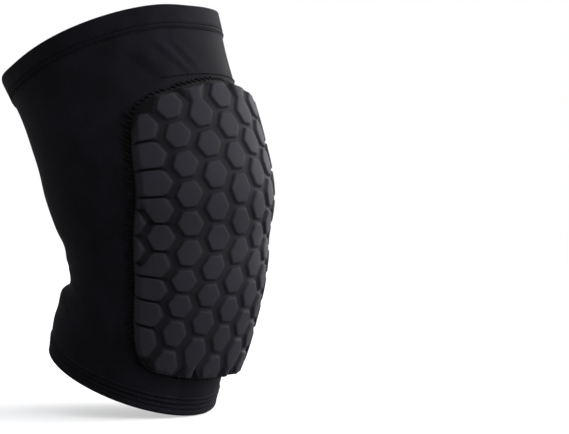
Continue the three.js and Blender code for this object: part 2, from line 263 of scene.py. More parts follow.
def flat_cloth(name, width, length, columns, rows):
    """A flat sheet of cloth of that size in mm, with its knit map."""
    bpy.ops.object.select_all(action="DESELECT")
    bpy.ops.mesh.primitive_grid_add(x_subdivisions=columns, y_subdivisions=rows, size=1)
    cloth = bpy.context.object
    cloth.name = name
    cloth.data.name = name
    cloth.scale = (width * MM, length * MM, 1)
    bpy.ops.object.transform_apply(location=True, rotation=True, scale=True)
    keep_knit_map(cloth)
    return cloth


def close_seams(piece, gap=SAME_POINT):
    """Merge the points that were laid on each other where the sheet's edges meet."""
    select_only(piece)
    bpy.ops.object.mode_set(mode="EDIT")
    bpy.ops.mesh.select_all(action="SELECT")
    bpy.ops.mesh.remove_doubles(threshold=gap * MM)
    bpy.ops.mesh.normals_make_consistent(inside=False)
    bpy.ops.object.mode_set(mode="OBJECT")


def finish_with(piece, kind, **settings):
    """Add a modifier with these settings and apply it."""
    select_only(piece)
    modifier = piece.modifiers.new(kind.title(), kind)
    for name, value in settings.items():
        setattr(modifier, name, value)
    bpy.ops.object.modifier_apply(modifier=modifier.name)


def tell(piece):
    """Print what was made."""
    size = np.ptp(points_of(piece), axis=0).round(1)
    print(piece.name, "has", len(piece.data.polygons), "faces and is", size.tolist(), "mm")


print("points closer than", SAME_POINT, "mm count as one")

# %% [markdown]
# The tube is cut smaller than the leg, and the leg stretches it, which is what compresses the knee. It is
# knitted round, so it has no seam up its back: the sheet's two long edges are merged. The sheet is laid on
# the leg as one face, and Solidify then gives the wall its thickness inwards, so that the outer face keeps
# the measured place.

# %% Sleeve tube
CLOTH = 1.5  # thickness of the knit, in mm
TUCK = 1.0  # each end of the tube goes this far into its hem, so that no light comes through the seam
THIGH_HEM = 17  # heights of the two hems
CALF_HEM = 14
CUT_ROUND = 300  # size of the flat cloth, before the leg stretches it
CUT_LENGTH = 240
TUBE_FOOT = CALF_HEM - TUCK
TUBE_HEAD = SLEEVE_LENGTH - THIGH_HEM + TUCK
ROUND_STEPS = 268
TUBE_STEPS = 150

sleeve = flat_cloth("sleeve_knit", CUT_ROUND, CUT_LENGTH, ROUND_STEPS, TUBE_STEPS)
across, up, _ = points_of(sleeve).T
sleeve_along = TUBE_FOOT + (up / CUT_LENGTH + 0.5) * (TUBE_HEAD - TUBE_FOOT)
move_points(sleeve, on_cloth(sleeve_along, 2 * math.pi * across / CUT_ROUND, np.zeros_like(up)))
close_seams(sleeve)
finish_with(sleeve, "SOLIDIFY", thickness=CLOTH * MM, offset=-1, use_even_offset=True)
tell(sleeve)

# %% [markdown]
# A hem is the knit turned in on itself and sewn down with a twin-needle machine. So its wall is thicker than
# the tube's, it is round at the rim, and each needle's row pulls a shallow channel into it, with small
# puckers. The wall's outline, from the sewn edge over the rim and down the inside, is one closed line, and
# a sheet whose rows follow that line becomes the hem.

# %% Helpers for hems
HEM_PROUD = 0.9  # how far a hem stands out of the tube's wall, outside and inside
HEM_INSIDE = -CLOTH - HEM_PROUD
HEM_SLOPE = 1.2  # how far from the sewn edge the hem is fully thick
HEM_STEP = 0.55  # spacing of the outline's points
FOLD_RADIUS = (HEM_PROUD - HEM_INSIDE) / 2
FOLD_MIDDLE = (HEM_PROUD + HEM_INSIDE) / 2
FOLD_STEPS = 12
STITCH_PITCH = 2.9
PUCKER = 0.35  # share by which a channel is deeper where a stitch goes in


def hem_outline(height):
    """The hem's closed wall line, as distances from the rim and lifts, starting at the sewn edge outside."""
    outside = np.linspace(height, FOLD_RADIUS, int(height / HEM_STEP))
    slope = np.clip((height - outside) / HEM_SLOPE, 0, 1)
    outside_lift = HEM_PROUD * np.sin(slope * math.pi / 2)
    bend = np.linspace(0, math.pi, FOLD_STEPS)[1:-1]
    fold = FOLD_RADIUS * (1 - np.sin(bend))
    fold_lift = FOLD_MIDDLE + FOLD_RADIUS * np.cos(bend)
    inside = np.linspace(FOLD_RADIUS, height, int(height / HEM_STEP / 2))
    slope = np.clip((height - inside) / HEM_SLOPE, 0, 1)
    inside_lift = -CLOTH - HEM_PROUD * np.sin(slope * math.pi / 2)
    return np.concatenate([outside, fold, inside]), np.concatenate([outside_lift, fold_lift, inside_lift])


def hem_channel(from_rim, turn, channels):
    """The dip of the sewn channels, deepest where a stitch goes in."""
    dip = np.zeros_like(from_rim)
    pucker = 1 + PUCKER * np.cos(2 * math.pi * turn * LEG_RADIUS / STITCH_PITCH)
    for middle, depth, width in channels:
        dip += depth * pucker * np.exp(-((from_rim - middle) / width) ** 2)
    return dip


def make_hem(name, height, channels, along_of):
    """A hem of that height, whose distances from the rim are turned into distances up the leg."""
    from_rim, lift = hem_outline(height)
    rows = len(from_rim)
    hem = flat_cloth(name, CUT_ROUND, rows, ROUND_STEPS, rows)
    across, row, _ = points_of(hem).T
    row = np.round(row + rows / 2).astype(int) % rows
    turn = 2 * math.pi * across / CUT_ROUND
    outer = lift[row] > FOLD_MIDDLE
    dipped = lift[row] - outer * hem_channel(from_rim[row], turn, channels)
    move_points(hem, on_cloth(along_of(from_rim[row]), turn, dipped))
    close_seams(hem)
    tell(hem)
    return hem


print("wall of a hem, mm:", round(2 * FOLD_RADIUS, 2))

# %% [markdown]
# The thigh hem is a plain band with two rows of stitches close to its lower edge. The calf hem is narrower,
# and its elastic makes ribs round it. Both come from the same function, and differ only in their channels.

# %% Thigh hem and calf hem
# Columns: distance from the rim, depth and half width of a sewn channel, in mm.
THIGH_CHANNELS = ((15.6, 0.4, 0.7), (13, 0.5, 0.8))
CALF_CHANNELS = ((11.4, 0.8, 1), (7.9, 0.85, 1.1), (4.4, 0.7, 1.1))


def below_thigh_rim(distance):
    """How far up the leg a place lies that is this far below the thigh rim."""
    return SLEEVE_LENGTH - distance


def above_calf_rim(distance):
    """How far up the leg a place lies that is this far above the calf rim."""
    return distance


thigh_hem = make_hem("thigh_hem_band", THIGH_HEM, THIGH_CHANNELS, below_thigh_rim)
calf_hem = make_hem("calf_hem_band", CALF_HEM, CALF_CHANNELS, above_calf_rim)

# %% [markdown]
# The pad is a sheet of foam with hexagonal cells moulded into it. It was made flat and then sewn on, so it
# is modelled flat too, in the plane of its own width and height, and laid on the knee as the last step. The
# knee drags it out of true: its upper rows droop towards the sides, it is stretched wider at the top, and
# under the kneecap the rows sag on one side and are pushed towards the other. The foam is a little fuller at
# the foot of one side.

# %% Laying the flat pad on the knee
CELL_PITCH = 17.2
CELL_ROWS = 10
PAD_HALF_HEIGHT = CELL_ROWS * CELL_PITCH / 2
PAD_HALF_WIDTH = 67
PAD_FOOT_ALONG = 31.5  # distance of its lower edge from the calf rim, before the drop
PAD_SPREAD = 0.975  # share of its flat width that it has at half its height
PAD_TAPER = 0.1  # what that share gains up to the top and loses down to the foot
PAD_DROOP = 7.8  # how much lower the upper rows lie at the sides
PAD_DROOP_OUT = 58
PAD_DROOP_FROM = -15
PAD_DROOP_FULL = 55
PAD_DROP = 3.2  # its lower edge is drawn this far down the shin
PAD_DROP_FROM = -58
PAD_SAG = 4  # how much lower the rows under the kneecap lie on one side
PAD_SAG_AT = -16
PAD_SAG_REACH = 20
PAD_SAG_FROM = 15
PAD_SAG_FULL = -40
PAD_PUSH = 3.2  # how far those rows are pushed towards the other side
PAD_PUSH_AT = -2
PAD_PUSH_REACH = 14
PAD_FULLER_LOW = 0.1  # share of its thickness that the foam gains below the kneecap
PAD_FULLER_LOW_OVER = (0, 15)  # down the pad, where that begins and where it is full
PAD_FULLER_FOOT = 0.08  # share that it gains besides at the lower edge
PAD_FULLER_FOOT_OVER = (50, 75)  # and where this does
PAD_FULLER_SIDE = (-10, 25)  # across the pad, where both begin and where they are full
ARC_STEP = math.radians(2)
ARC_STEPS = 48
SMALLEST_STRIDE = 1e-6  # nothing is divided by less


def turn_at_arc(along, arc):
    """How far round the leg an arc of that length, laid from the front, reaches."""
    step = ARC_STEP * np.sign(arc)
    turn = np.zeros_like(arc)
    left = np.abs(arc)
    here = on_leg(along, turn)
    for count in range(1, ARC_STEPS):
        there = on_leg(along, count * step)
        stride = np.maximum(np.linalg.norm(there - here, axis=1), SMALLEST_STRIDE)
        turn += step * np.clip(left / stride, 0, 1)
        left = np.maximum(left - stride, 0)
        here = there
    return turn


def pad_place(across, up):
    """Where a point of the flat pad lies on the sleeve: distance up the leg, and turn round it."""
    droop = PAD_DROOP * ease(up, PAD_DROOP_FROM, PAD_DROOP_FULL) * ease(np.abs(across), 0, PAD_DROOP_OUT)
    sag = PAD_SAG * ease(across, PAD_SAG_FROM, PAD_SAG_FULL) * bell(up, PAD_SAG_AT, PAD_SAG_REACH)
    inside = 1 - (across / PAD_HALF_WIDTH) ** 4
    push = PAD_PUSH * bell(up, PAD_PUSH_AT, PAD_PUSH_REACH) * np.maximum(inside, 0)
    drop = PAD_DROP * ease(up, PAD_DROP_FROM, -PAD_HALF_HEIGHT)
    along = PAD_FOOT_ALONG + PAD_HALF_HEIGHT + up - droop - sag - drop
    arc = across * (PAD_SPREAD + PAD_TAPER * up / PAD_HALF_HEIGHT) + push
    return along, turn_at_arc(along, arc)


def on_pad(across, up, lift):
    """Points of the flat pad laid on the sleeve, `lift` outside the cloth, more where the foam is fuller."""
    along, turn = pad_place(across, up)
    below_knee = PAD_FULLER_LOW * ease(-up, *PAD_FULLER_LOW_OVER)
    at_foot = PAD_FULLER_FOOT * ease(-up, *PAD_FULLER_FOOT_OVER)
    fuller = (below_knee + at_foot) * ease(across, *PAD_FULLER_SIDE)
    return on_cloth(along, turn, lift * (1 + fuller))


pad_head = pad_place(np.zeros(1), np.array([PAD_HALF_HEIGHT]))[0]
print("the pad's upper edge lies up the leg, mm:", pad_head.round(1))

# %% [markdown]
# The pad's outline is a rounded shield. Half of it is drawn as curves that each bend towards one pull point,
# as with a drawing program's pen, and the other half is its mirror image.

# %% Outline of the flat pad
# Columns: pull point out and up, end point out and up, in mm, and the steps that the curve is drawn in.
PAD_OUTLINE = (
    (20, -PAD_HALF_HEIGHT, 40, -PAD_HALF_HEIGHT, 4),  # lower edge
    (57, -PAD_HALF_HEIGHT, 63, -60, 5),  # lower corner
    (PAD_HALF_WIDTH, -38, PAD_HALF_WIDTH, 0, 4),  # side
    (PAD_HALF_WIDTH, 30, 64.5, 50, 4),  # upper side
    (60, 81, 42, 85.5, 6),  # upper corner
    (20, PAD_HALF_HEIGHT, 0, PAD_HALF_HEIGHT, 4),  # upper edge
)
PAD_RIM = 0.8  # how far inside the outline the cells end


def pad_outline():
    """The closed outline, counter-clockwise from the middle of the lower edge."""
    points = [np.array([0, -PAD_HALF_HEIGHT])]
    for pull_out, pull_up, out, up, steps in PAD_OUTLINE:
        start = points[-1]
        for share in np.arange(1, steps + 1) / steps:
            towards = np.array([pull_out, pull_up])
            ends = (1 - share) ** 2 * start + share**2 * np.array([out, up])
            points.append(ends + 2 * share * (1 - share) * towards)
    mirrored = [point * (-1, 1) for point in points[1:-1]]
    return np.array(points + mirrored[::-1])


def from_outline(points):
    """How far inside the outline flat points lie. It is nowhere hollow, so each side can be taken alone."""
    run = np.roll(outline, -1, axis=0) - outline
    side = run / np.linalg.norm(run, axis=1)[:, None]
    place = points[:, None] - outline[None]
    return (side[:, 0] * place[..., 1] - side[:, 1] * place[..., 0]).min(axis=1)


outline = pad_outline()
print("outline points:", len(outline), "reach, mm:", outline.max(axis=0))

# %% [markdown]
# The cells nest as in a honeycomb, every second column half a cell higher. At the sides they run straight
# out to the border, with narrow slits between them, and at the top and bottom the columns between end in
# half cells that are joined to the last whole ones by a neck. An array of one hexagon would not give those,
# so each cell is worked out as a flat outline of its own, and cut off at the border.

# %% Flat outlines of the cells
CELL_COLUMNS = 8
LAST_COLUMN = CELL_COLUMNS - 1
CELL_HALF = CELL_PITCH / 2
CELL_POINT = CELL_PITCH / math.sqrt(3)
COLUMN_PITCH = 1.5 * CELL_POINT
QUARTERS = ((1, 1), (-1, 1), (-1, -1), (1, -1))


def near_middle(up):
    """True where the pad is widest and the corners of one more column show."""
    return abs(up) < CELL_PITCH


def cell_corners(across, up, outer_side, neck):
    """A cell's corners. Its outer side goes on to the border, and a neck runs up (1) or down (-1) from it."""
    corners = []
    for x, y in QUARTERS:
        runs_out = x == outer_side and not near_middle(up + y * CELL_HALF)
        tip_out = PAD_HALF_WIDTH if runs_out else CELL_POINT
        shoulder_out = PAD_HALF_WIDTH if runs_out else CELL_POINT / 2
        quarter = [(across + x * tip_out, up), (across + x * shoulder_out, up + y * CELL_HALF)]
        if y == neck:
            quarter.append((across + x * tip_out, up + y * CELL_PITCH))
        corners += quarter if x == y else quarter[::-1]
    corners = np.array(corners)
    return corners[np.linalg.norm(corners - np.roll(corners, 1, axis=0), axis=1) > SAME_POINT]


def cut_at_border(corners):
    """The part of a flat outline that lies inside the border, or None."""
    for start, stop in zip(outline, np.roll(outline, -1, axis=0)):
        side = (stop - start) / np.linalg.norm(stop - start)
        depth = side[0] * (corners[:, 1] - start[1]) - side[1] * (corners[:, 0] - start[0]) - PAD_RIM
        kept = []
        for i, here in enumerate(depth):
            j = (i + 1) % len(depth)
            if here >= 0:
                kept.append(corners[i])
            if here * depth[j] < 0:
                kept.append(corners[i] + (corners[j] - corners[i]) * here / (here - depth[j]))
        corners = np.array(kept)
        if len(corners) < 3:
            return None
    return corners


def pad_cells():
    """The outline of each cell and the point that its top is centred on."""
    cells = []
    for column in range(-1, CELL_COLUMNS + 1):
        across = (column - LAST_COLUMN / 2) * COLUMN_PITCH
        nested = column % 2 == 1
        outer_side = int(column == LAST_COLUMN) - int(column == 0)
        is_outer = outer_side != 0
        is_beyond = column < 0 or column > LAST_COLUMN
        has_necks = not nested and not is_outer
        for row in range(int(has_necks), CELL_ROWS + int(is_outer)):
            up = (row + nested / 2) * CELL_PITCH - PAD_HALF_HEIGHT
            if is_beyond and not near_middle(up):
                continue
            neck = int(has_necks) * (int(row == CELL_ROWS - 1) - int(row == 1))
            corners = cut_at_border(cell_corners(across, up, outer_side, neck))
            if corners is not None:
                cells.append((corners, np.array([across, up + CELL_HALF * neck])))
    return cells


cells = pad_cells()
print("cells:", len(cells))

# %% [markdown]
# Seen from the side, a cell goes from the flat bottom of its groove up a slanted wall and round a soft
# shoulder on to a top that is hardly crowned. A bevel would give all walls one slope, but the blocks are
# stiffer than the grooves: when the pad bends round the knee, the upright grooves open, and the blocks keep
# their width. The level ones stay narrow, and between the outer cells they are mere slits. So one table
# holds the profile, and each kind of edge has its own pace along it.

# %% Profile of a cell
# Columns: distance from the middle of the groove, and lift from the cloth, in mm.
CELL_PROFILE = (
    (0, 7.3),  # bottom of the groove
    (0.85, 7.33),
    (1.1, 7.45),  # foot of the wall
    (1.5, 8.0),
    (1.95, 8.55),
    (2.35, 8.85),  # shoulder
    (2.8, 8.96),
    (3.6, 8.98),
    (4.8, 9),  # top
)
GROOVE_LIFT = CELL_PROFILE[0][1]
TOP_LIFT = CELL_PROFILE[-1][1]
LEVEL_PACE = 1.25  # how much faster a cell rises from a level groove than from an upright one
SLIT_PACE = 2.2  # and from a slit
OUTER_CELLS = 57  # a level groove that reaches farther out than this is a slit
ON_OUTLINE = 0.05  # an edge this close to the cells' border, in mm, lies on it
CORNER_SOFTNESS = 0.3  # how much the corners of a block are rounded, in mm


def edge_paces(corners):
    """How fast a cell rises from each of its edges, and which of them lie on the pad's outline."""
    stops = np.roll(corners, -1, axis=0)
    is_level = np.abs(stops[:, 1] - corners[:, 1]) < SAME_POINT
    is_outer = np.maximum(np.abs(corners[:, 0]), np.abs(stops[:, 0])) > OUTER_CELLS
    pace = np.where(is_level, np.where(is_outer, SLIT_PACE, LEVEL_PACE), 1)
    return pace, from_outline((corners + stops) / 2) < PAD_RIM + ON_OUTLINE


def depth_inside(points, corners, with_outline=True):
    """Distance from the cell's edges times their paces, rounded off in the corners."""
    run = np.roll(corners, -1, axis=0) - corners
    place = points[:, None] - corners[None]
    share = np.clip((place * run).sum(-1) / (run * run).sum(-1), 0, 1)
    pace, on_outline = edge_paces(corners)
    gap = np.linalg.norm(place - share[..., None] * run, axis=-1) * pace
    if not with_outline:
        gap = gap[:, ~on_outline]
    nearest = gap.min(axis=1)
    crowding = np.exp(-(gap - nearest[:, None]) / CORNER_SOFTNESS).sum(axis=1)
    return nearest - CORNER_SOFTNESS * np.log(crowding)


print("depth of a groove, mm:", round(TOP_LIFT - GROOVE_LIFT, 2))

# %% [markdown]
# At the pad's edge the cells slope down to the seam, and at the top the slope goes on a little past the field
# of cells. A second profile for the cells there would do it too, but one share from 0 to 1 that caps every
# height leaves the cells' own forms alone.

# %% Slope at the pad's edge
TOP_EDGE = (62, 82)  # where, up the flat pad, its edge comes to lie farther out than the cells
TOP_MARGIN = 3.5  # how far out that is
EDGE_SLOPE_WIDTH = 3.4  # how far in from the edge the pad has its full height
UPPER_SLOPE_WIDTH = 4.8  # and at the top


def top_margin(points):
    """How far outside the cells' field the pad's edge lies, at flat points on the outline."""
    return TOP_MARGIN * ease(points[:, 1], *TOP_EDGE)


def edge_slope(points):
    """The share of its full height that the pad's sloped edge lets a point have."""
    width = EDGE_SLOPE_WIDTH + (UPPER_SLOPE_WIDTH - EDGE_SLOPE_WIDTH) * ease(points[:, 1], *TOP_EDGE)
    return np.clip((from_outline(points) - PAD_RIM + top_margin(points)) / width, 0, 1)


print("slope at the pad's upper edge:", edge_slope(np.array([[0, PAD_HALF_HEIGHT]])).round(2))

# %% [markdown]
# Insetting the outline step by step would make the profile, but it tangles on the short cut-off cells at the
# border. So each ring of points slides from the outline towards the cell's middle until it is as far from
# the outline as its step of the profile says.

# %% Rings of one cell
EDGE_STEPS = 5  # points along each edge of a cell
MIDDLE_SPOTS = 27  # places tried each way for a cell's middle
WELL_INSIDE = 0.7  # share of the greatest depth that a wished middle has to have
SLIDE_LIMIT = 0.9  # share of the way to the middle that a ring may go
HALVINGS = 18  # how often the way is halved to find where a point has to stop


def along_edges(corners):
    """Points spaced along each edge of a cell, so that neighbours share them."""
    shares = np.arange(EDGE_STEPS)[None, :, None] / EDGE_STEPS
    stops = np.roll(corners, -1, axis=0)
    return (corners[:, None] * (1 - shares) + stops[:, None] * shares).reshape(-1, 2)


def sees_all(points, corners):
    """True for points that lie on the inner side of every edge of the cell."""
    run = np.roll(corners, -1, axis=0) - corners
    place = points[:, None] - corners[None]
    return (run[:, 0] * place[..., 1] - run[:, 1] * place[..., 0]).min(axis=1) > 0


def middle_of(corners, wished):
    """The wished middle if it lies well inside, or else the point that is furthest from the cell's edges."""
    spread = [np.linspace(corners[:, i].min(), corners[:, i].max(), MIDDLE_SPOTS) for i in range(2)]
    spots = np.stack(np.meshgrid(*spread), axis=-1).reshape(-1, 2)
    spots = np.vstack([wished, spots])
    depths = np.where(sees_all(spots, corners), depth_inside(spots, corners), 0)
    return wished if depths[0] > WELL_INSIDE * depths.max() else spots[np.argmax(depths)]


def slide_in(edge, middle, corners, wanted):
    """Slide points from the edge towards the middle until they are `wanted` deep, or at the limit."""
    low = np.zeros(len(edge))
    high = np.full(len(edge), SLIDE_LIMIT)
    for _ in range(HALVINGS):
        share = (low + high) / 2
        deep = depth_inside(edge + share[:, None] * (middle - edge), corners) > wanted
        high = np.where(deep, share, high)
        low = np.where(deep, low, share)
    return edge + low[:, None] * (middle - edge)


one_cell = cells[len(cells) // 2]
inner_ring = slide_in(along_edges(one_cell[0]), one_cell[1], one_cell[0], CELL_PROFILE[-1][0])
print("a whole cell, mm:", np.ptp(one_cell[0], axis=0).round(1))
print("its top, mm:", np.ptp(inner_ring, axis=0).round(1))

# %% [markdown]
# The cover is given painted shade in the grooves, in the slits between the outer cells and at the pad's edge,
# where those hollows and the foot of the edge lie in shadow, and it is darkest at the edge. That could be
# painted by hand, but each point's height already tells it, so it is worked out here and kept with the mesh
# for the material to read.

# %% Painted shade in the grooves, slits and at the pad's edge
# painted shade at the bottom of a groove, where 1 is the darkest
GROOVE_SHADE = 0.6
SIDE_SHADE = 0.15  # how much more painted shade the grooves get towards the sides
SIDE_SHADE_OVER = (22, 45)  # across the pad, where that begins and where it is full
SLIT_SHADE = 1.5  # how many times more painted shade there is in the slits
TOP_EDGE_SHADE = 3.3  # painted shade at the foot of the slope at the top, where 1 is already the darkest
SEAM_SHADE = 0.3  # share of the slope, from its foot, that gets painted shade besides


def ring_painted_shade(ring, raised, slope, in_slit):
    """How much painted shade the points of a cell's ring get, by the heights and slopes that they have."""
    deepest = GROOVE_SHADE + SIDE_SHADE * ease(np.abs(ring[:, 0]), *SIDE_SHADE_OVER)
    in_groove = deepest * (TOP_LIFT - raised) / (TOP_LIFT - GROOVE_LIFT)
    in_groove = np.where(in_slit, in_groove * SLIT_SHADE, in_groove)
    at_top = TOP_EDGE_SHADE * (1 - slope) * ease(ring[:, 1], *TOP_EDGE)
    at_seam = 1 - slope / SEAM_SHADE
    return np.maximum.reduce([in_groove, at_top, at_seam])


print("press in a groove:", GROOVE_SHADE, "and in a slit:", round(GROOVE_SHADE * SLIT_SHADE, 2))

# %% [markdown]
# All cells go into one mesh, and the points that neighbours share along the grooves are merged, so the pad's
# face is one skin. Each cell could be an object to be joined later, but building the rings into one list of
# points is quicker, and leaves nothing to join.

# %% Knee pad
RIM_LIFT = 2.6  # lift from the cloth at the border of the cells
BLOCK_SQUEEZE = 0.13  # share of its width that a block gives to the upright grooves
BLOCK_FOOT = 1.2  # how far from the groove's middle it has given all of that
CELL_CROWN = 0.05  # how much higher the middle of a top is
CELL_UNEVEN = 0.15  # how much higher or lower than usual a cell may be
LAST_GROOVE_STEP = 2  # the profile's steps up to this one, counted from 0, don't vary in height
CORNER_PIECE = (45, 80)  # what lies farther out and farther up or down is low and at the darkest tone, as part of the seam
CELL_MERGE = 0.02
seeded = np.random.default_rng(7)


def band(start, count):
    """The faces between a closed ring of points and the next ring, whose points come after it."""
    pairs = [(i, (i + 1) % count) for i in range(count)]
    return [(start + i, start + j, start + count + j, start + count + i) for i, j in pairs]


def new_piece(name, points, faces):
    """A new piece from points in mm and faces."""
    mesh = bpy.data.meshes.new(name)
    mesh.from_pydata((points * MM).tolist(), [], faces)
    piece = bpy.data.objects.new(name, mesh)
    bpy.context.scene.collection.objects.link(piece)
    return piece


def cells_mesh():
    """The points and faces of every cell's rings, and each point's painted shade, from 0 to 1."""
    points = []
    faces = []
    painted_shade = []
    for corners, wished in cells:
        middle = middle_of(corners, wished)
        edge = along_edges(corners)
        count = len(edge)
        uneven = seeded.uniform(-CELL_UNEVEN, CELL_UNEVEN)
        is_low = (np.abs(wished) > CORNER_PIECE).all()
        in_slit = np.repeat(edge_paces(corners)[0] == SLIT_PACE, EDGE_STEPS)
        for step, (distance, _) in enumerate(CELL_PROFILE):
            ring = slide_in(edge, middle, corners, distance) if step else edge
            slope = edge_slope(ring)
            reached = np.maximum(depth_inside(ring, corners, with_outline=False), 0)
            raised = np.interp(reached, *zip(*CELL_PROFILE)) + uneven * (step > LAST_GROOVE_STEP)
            if is_low:
                raised = np.full(count, GROOVE_LIFT)
            heights = np.minimum(raised, RIM_LIFT + (TOP_LIFT - RIM_LIFT) * slope)
            squeeze = BLOCK_SQUEEZE * slope * np.clip(reached / BLOCK_FOOT, 0, 1) * (step > 0)
            narrowed = ring[:, 0] + squeeze * (middle[0] - ring[:, 0])
            if step:
                faces += band(len(points) - count, count)
            points += np.column_stack([narrowed, ring[:, 1], heights]).tolist()
            shading = np.ones(count) if is_low else ring_painted_shade(ring, raised, slope, in_slit)
            painted_shade += shading.tolist()
        last_ring = len(points) - count
        faces += [(last_ring + i, last_ring + (i + 1) % count, len(points)) for i in range(count)]
        points.append([*middle, heights.mean() + (0 if is_low else CELL_CROWN)])
        painted_shade.append(float(is_low))
    return np.array(points), faces, np.clip(painted_shade, 0, 1)


pad_points, pad_faces, pad_painted_shade = cells_mesh()
pad = new_piece("knee_pad_cover", pad_points, pad_faces)
# Each point's painted shade is kept with the mesh as an attribute.
pad.data.attributes.new("painted_shade", "FLOAT", "POINT").data.foreach_set("value", pad_painted_shade)
close_seams(pad, gap=CELL_MERGE)
tell(pad)

# %% [markdown]
# An open edge is left round the field of cells. A border made apart would have to be joined on to it, so the
# edge is extruded instead, ring by ring: out over the border, down to the cloth, and back under the pad to
# its middle, which closes it. Then the flat pad is laid on the knee.

# %% Border and back of the pad
PAD_BACK_LIFT = 0.3
PAD_BACK_SHARES = (0.84, 0.7, 0.55, 0.4, 0.25, 0.1)
# Columns: share of the way from the pad's middle, distance out from the cells' field, and lift, in mm.
PAD_RINGS = (
    (1, 0.55, 1.8),
    (1, 0.8, 0.9),
    (1, -0.6, PAD_BACK_LIFT),
    *((share, 0, PAD_BACK_LIFT) for share in PAD_BACK_SHARES),
)


def chosen_points(piece):
    """True for the piece's points that are selected."""
    chosen = np.empty(len(piece.data.vertices), dtype=bool)
    piece.data.vertices.foreach_get("select", chosen)
    return chosen


def paint_darkest_shade(piece, chosen):
    """Give the chosen points the darkest painted shade."""
    painted_shade = np.empty(len(chosen), dtype=np.float32)
    piece.data.attributes["painted_shade"].data.foreach_get("value", painted_shade)
    painted_shade[chosen] = 1
    piece.data.attributes["painted_shade"].data.foreach_set("value", painted_shade)


select_only(pad)
bpy.ops.object.mode_set(mode="EDIT")
bpy.ops.mesh.select_mode(type="EDGE")
bpy.ops.mesh.select_all(action="DESELECT")
bpy.ops.mesh.select_non_manifold(extend=False, use_wire=False, use_multi_face=False, use_verts=False)
bpy.ops.object.mode_set(mode="OBJECT")
field_edge = points_of(pad)[chosen_points(pad)]
reach = np.linalg.norm(field_edge[:, :2], axis=1)
print("points round the field of cells:", len(field_edge))
for share, out, lift in PAD_RINGS:
    bpy.ops.object.mode_set(mode="EDIT")
    bpy.ops.mesh.extrude_edges_move()
    bpy.ops.object.mode_set(mode="OBJECT")
    chosen = chosen_points(pad)
    places = points_of(pad)
    farther = 1 + (out + top_margin(field_edge)) / reach
    places[chosen, :2] = field_edge[:, :2] * (share * farther)[:, None]
    places[chosen, 2] = lift
    move_points(pad, places)
    # the border's rings, down to the cloth and under the pad, get the darkest painted shade
    paint_darkest_shade(pad, chosen)
bpy.ops.object.mode_set(mode="EDIT")
bpy.ops.mesh.merge(type="CENTER")
bpy.ops.object.mode_set(mode="OBJECT")
keep_knit_map(pad)
across, up, lift = points_of(pad).T
move_points(pad, on_pad(across, up, lift))
close_seams(pad)
tell(pad)

# %% [markdown]
# Stitches are real threads that stand a little out of the cloth. There are hundreds of them, so one stitch
# is worked out as a bowed tube with closed ends, and arrays repeat it from each needle hole to the next.

# %% Helper for stitches
THREAD_SIDES = 6
THREAD_RINGS = 6
THREAD_END = 0.12  # share of a half wave at which the thread's thickness starts
THREAD_FULLNESS = 1.6  # above 1, it is fully thick for a stretch of its length
THREAD_MERGE = 0.001


def sew(name, starts, stops, outs, thread, bow, flat=1):
    """One mesh of many stitches, each from a start to a stop, bowed outwards, with sizes in mm."""
    count = len(starts)
    share = np.linspace(0, 1, THREAD_RINGS)
    run = stops - starts
    length = np.linalg.norm(run, axis=1)[:, None]
    side = np.cross(run / length, outs)
    side /= np.linalg.norm(side, axis=1)[:, None]
    above = np.cross(side, run / length)
    spine = starts[:, None] + share[None, :, None] * run[:, None]
    spine = spine + bow * np.sin(math.pi * share)[None, :, None] * outs[:, None]
    swell = np.sin(math.pi * (THREAD_END + (1 - 2 * THREAD_END) * share))
    radius = thread / 2 * np.clip(swell * THREAD_FULLNESS, 0, 1)
    angle = np.linspace(0, 2 * math.pi, THREAD_SIDES, endpoint=False)
    sideways = np.cos(angle)[None, :, None] * side[:, None]
    upright = flat * np.sin(angle)[None, :, None] * above[:, None]
    points = spine[:, :, None] + radius[None, :, None, None] * (sideways + upright)[:, None]
    faces = []
    for stitch in range(count):
        first = stitch * THREAD_RINGS * THREAD_SIDES
        last = first + (THREAD_RINGS - 1) * THREAD_SIDES
        for ring in range(first, last, THREAD_SIDES):
            faces += band(ring, THREAD_SIDES)
        faces.append(tuple(range(first + THREAD_SIDES - 1, first - 1, -1)))
        faces.append(tuple(range(last, last + THREAD_SIDES)))
    stitches = new_piece(name, points.reshape(-1, 3), faces)
    close_seams(stitches, gap=THREAD_MERGE)
    tell(stitches)
    return stitches


print("points of one stitch:", THREAD_RINGS * THREAD_SIDES)

# %% [markdown]
# A twin-needle row shows two parallel lines of short stitches on the outside of each hem. They lie in the
# channels that they pull into the cloth. A dark line in the material would be cheaper, but it would not catch
# the light, so each stitch is a thread of its own.

# %% Hem stitches
HEM_THREAD = 0.62
HEM_THREAD_RISE = 0.2  # share of its thickness that the thread's middle lies above its channel
HEM_BOW = 0.22
STITCH_SHARE = 0.84  # share of the pitch that a stitch covers


def mean_radius(along):
    """The leg's mean radius at a distance up its front."""
    _, _, _, depth, side = section_at(np.array([along]))[:, 0]
    return (depth + side) / 2


def hem_rows(name, channels, along_of):
    """Rows of stitches all round a hem, one in each channel."""
    starts, stops, outs = [], [], []
    for from_rim, depth, _ in channels:
        along = along_of(from_rim)
        count = int(2 * math.pi * mean_radius(along) / STITCH_PITCH)
        turn = np.linspace(-math.pi, math.pi, count, endpoint=False)
        half = STITCH_SHARE * math.pi / count
        row = np.full(count, float(along))
        lift = np.full(count, HEM_PROUD - depth + HEM_THREAD * HEM_THREAD_RISE)
        starts.append(on_cloth(row, turn - half, lift))
        stops.append(on_cloth(row, turn + half, lift))
        outs.append(outward(row, turn))
    return sew(name, np.vstack(starts), np.vstack(stops), np.vstack(outs), HEM_THREAD, HEM_BOW)


